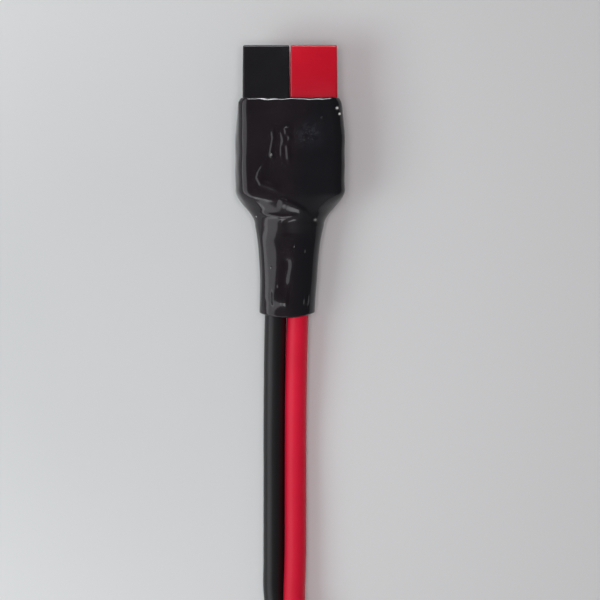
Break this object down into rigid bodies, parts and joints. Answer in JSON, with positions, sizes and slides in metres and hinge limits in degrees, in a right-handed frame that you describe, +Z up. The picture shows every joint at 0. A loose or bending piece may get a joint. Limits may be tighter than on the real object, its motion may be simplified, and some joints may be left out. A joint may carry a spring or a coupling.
{
  "type": "power adapter cable",
  "caption": "Genderless power connector in a heat-shrink sleeve on a bonded black and red wire pair, folded in a strapped hank and ending in a coaxial plug.",
  "frame": {"origin": "under the middle of the connector head (housings and sleeve), on the surface that it lies on", "axes": "+Y out of the connector's mating end, +Z up from the surface, +X towards the red pole"},
  "size_m": [0.0316, 0.2907, 0.0105],
  "materials": {
    "housing_black": "fine satin moulding",
    "housing_red": "fine satin moulding",
    "contact_silver": "silver-plated copper",
    "spring_steel": "stainless strip",
    "copper": "bare copper strands",
    "heat_shrink": "glossy shrunk tube",
    "pvc_black": "satin PVC",
    "pvc_red": "satin PVC",
    "strap_fabric": "hook-and-loop weave",
    "plug_mould": "moulded PVC",
    "nickel": "nickel-plated brass",
    "insulator": "moulded"
  },
  "bodies": {
    "root": {"black_housing": "housing_black", "red_housing": "housing_red", "black_contact": "contact_silver", "red_contact": "contact_silver", "black_spring": "spring_steel", "red_spring": "spring_steel", "black_conductor": "copper", "red_conductor": "copper", "roll_pin": "spring_steel", "heat_shrink_sleeve": "heat_shrink", "black_wire": "pvc_black", "red_wire": "pvc_red", "cord_hank": "pvc_red", "hank_strap": "strap_fabric", "black_tail": "pvc_black", "red_tail": "pvc_red", "plug_handle": "plug_mould", "plug_barrel": "nickel", "plug_insulator": "insulator", "plug_centre_contact": "nickel"}
  },
  "joints": []
}
